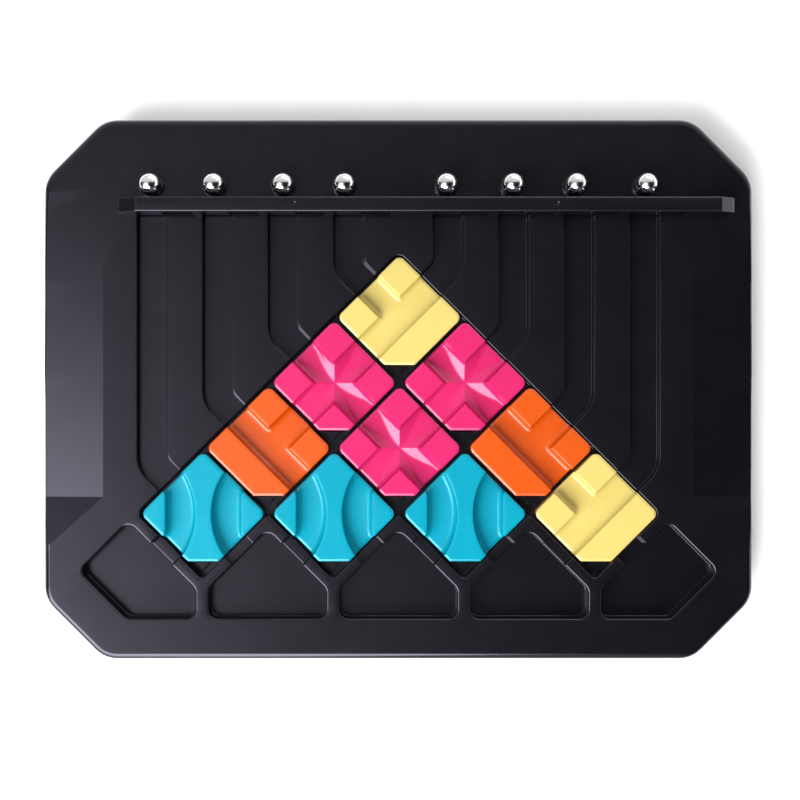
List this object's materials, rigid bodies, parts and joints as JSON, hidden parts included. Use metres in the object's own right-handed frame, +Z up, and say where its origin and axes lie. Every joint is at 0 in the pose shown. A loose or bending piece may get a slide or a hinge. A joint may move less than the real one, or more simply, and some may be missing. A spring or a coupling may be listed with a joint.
{
  "type": "marble track tile puzzle",
  "caption": "Black board with straight ball tracks, a sliding release gate, a triangle of square lift-out track tiles, catch pockets and fold-out legs.",
  "frame": {"origin": "middle of the board's footprint, on the table under the rubber feet", "axes": "+X to the player's right along the board's width, +Y to the back edge with the release gate, +Z up from the table"},
  "size_m": [0.248, 0.189, 0.0262],
  "materials": {
    "black_abs": "moulded black ABS, satin gloss",
    "tile_yellow": "moulded yellow ABS, satin",
    "tile_pink": "moulded pink ABS, glossy",
    "tile_orange": "moulded orange ABS, satin",
    "tile_teal": "moulded teal ABS, satin",
    "chrome_ball": "polished bearing steel",
    "steel_fastener": "zinc plated steel",
    "rubber_foot": "matte rubber"
  },
  "bodies": {
    "board": {"top_board": "black_abs", "bottom_cover": "black_abs", "cover_screws": "steel_fastener", "foot_back_left": "rubber_foot", "foot_back_right": "rubber_foot", "foot_front_left": "rubber_foot", "foot_front_right": "rubber_foot", "left_leg_pin": "steel_fastener", "right_leg_pin": "steel_fastener"},
    "gate": {"gate_bar": "black_abs", "gate_screws": "steel_fastener", "gate_washers": "steel_fastener"},
    "tile_01": {"tile_01_merge_left": "tile_yellow"},
    "tile_02": {"tile_02_crossing": "tile_pink"},
    "tile_03": {"tile_03_crossing": "tile_pink"},
    "tile_04": {"tile_04_merge_right": "tile_orange"},
    "tile_05": {"tile_05_crossing": "tile_pink"},
    "tile_06": {"tile_06_merge_right": "tile_orange"},
    "tile_07": {"tile_07_bounce": "tile_teal"},
    "tile_08": {"tile_08_bounce": "tile_teal"},
    "tile_09": {"tile_09_bounce": "tile_teal"},
    "tile_10": {"tile_10_merge_left": "tile_yellow"},
    "steel_ball_1": {"ball_1": "chrome_ball"},
    "steel_ball_2": {"ball_2": "chrome_ball"},
    "steel_ball_3": {"ball_3": "chrome_ball"},
    "steel_ball_4": {"ball_4": "chrome_ball"},
    "steel_ball_5": {"ball_5": "chrome_ball"},
    "steel_ball_6": {"ball_6": "chrome_ball"},
    "steel_ball_7": {"ball_7": "chrome_ball"},
    "steel_ball_8": {"ball_8": "chrome_ball"},
    "left_stand": {"left_leg": "black_abs"},
    "right_stand": {"right_leg": "black_abs"}
  },
  "joints": [
    {"name": "gate_slide", "type": "slide", "parent": "board", "child": "gate", "axis": [-1, 0, 0], "range_m": [0, 0.0095]},
    {"name": "tile_01_lift", "type": "slide", "parent": "board", "child": "tile_01", "axis": [0, 0, 1], "range_m": [0, 0.03]},
    {"name": "tile_02_lift", "type": "slide", "parent": "board", "child": "tile_02", "axis": [0, 0, 1], "range_m": [0, 0.03]},
    {"name": "tile_03_lift", "type": "slide", "parent": "board", "child": "tile_03", "axis": [0, 0, 1], "range_m": [0, 0.03]},
    {"name": "tile_04_lift", "type": "slide", "parent": "board", "child": "tile_04", "axis": [0, 0, 1], "range_m": [0, 0.03]},
    {"name": "tile_05_lift", "type": "slide", "parent": "board", "child": "tile_05", "axis": [0, 0, 1], "range_m": [0, 0.03]},
    {"name": "tile_06_lift", "type": "slide", "parent": "board", "child": "tile_06", "axis": [0, 0, 1], "range_m": [0, 0.03]},
    {"name": "tile_07_lift", "type": "slide", "parent": "board", "child": "tile_07", "axis": [0, 0, 1], "range_m": [0, 0.03]},
    {"name": "tile_08_lift", "type": "slide", "parent": "board", "child": "tile_08", "axis": [0, 0, 1], "range_m": [0, 0.03]},
    {"name": "tile_09_lift", "type": "slide", "parent": "board", "child": "tile_09", "axis": [0, 0, 1], "range_m": [0, 0.03]},
    {"name": "tile_10_lift", "type": "slide", "parent": "board", "child": "tile_10", "axis": [0, 0, 1], "range_m": [0, 0.03]},
    {"name": "ball_1_lift", "type": "slide", "parent": "board", "child": "steel_ball_1", "axis": [0, 0, 1], "range_m": [0, 0.03]},
    {"name": "ball_2_lift", "type": "slide", "parent": "board", "child": "steel_ball_2", "axis": [0, 0, 1], "range_m": [0, 0.03]},
    {"name": "ball_3_lift", "type": "slide", "parent": "board", "child": "steel_ball_3", "axis": [0, 0, 1], "range_m": [0, 0.03]},
    {"name": "ball_4_lift", "type": "slide", "parent": "board", "child": "steel_ball_4", "axis": [0, 0, 1], "range_m": [0, 0.03]},
    {"name": "ball_5_lift", "type": "slide", "parent": "board", "child": "steel_ball_5", "axis": [0, 0, 1], "range_m": [0, 0.03]},
    {"name": "ball_6_lift", "type": "slide", "parent": "board", "child": "steel_ball_6", "axis": [0, 0, 1], "range_m": [0, 0.03]},
    {"name": "ball_7_lift", "type": "slide", "parent": "board", "child": "steel_ball_7", "axis": [0, 0, 1], "range_m": [0, 0.03]},
    {"name": "ball_8_lift", "type": "slide", "parent": "board", "child": "steel_ball_8", "axis": [0, 0, 1], "range_m": [0, 0.03]},
    {"name": "left_leg_fold", "type": "hinge", "parent": "board", "child": "left_stand", "pos_m": [-0.077, 0.084, 0.0042], "axis": [1, 0, 0], "range_deg": [0, 110]},
    {"name": "right_leg_fold", "type": "hinge", "parent": "board", "child": "right_stand", "pos_m": [0.077, 0.084, 0.0042], "axis": [1, 0, 0], "range_deg": [0, 110]}
  ]
}
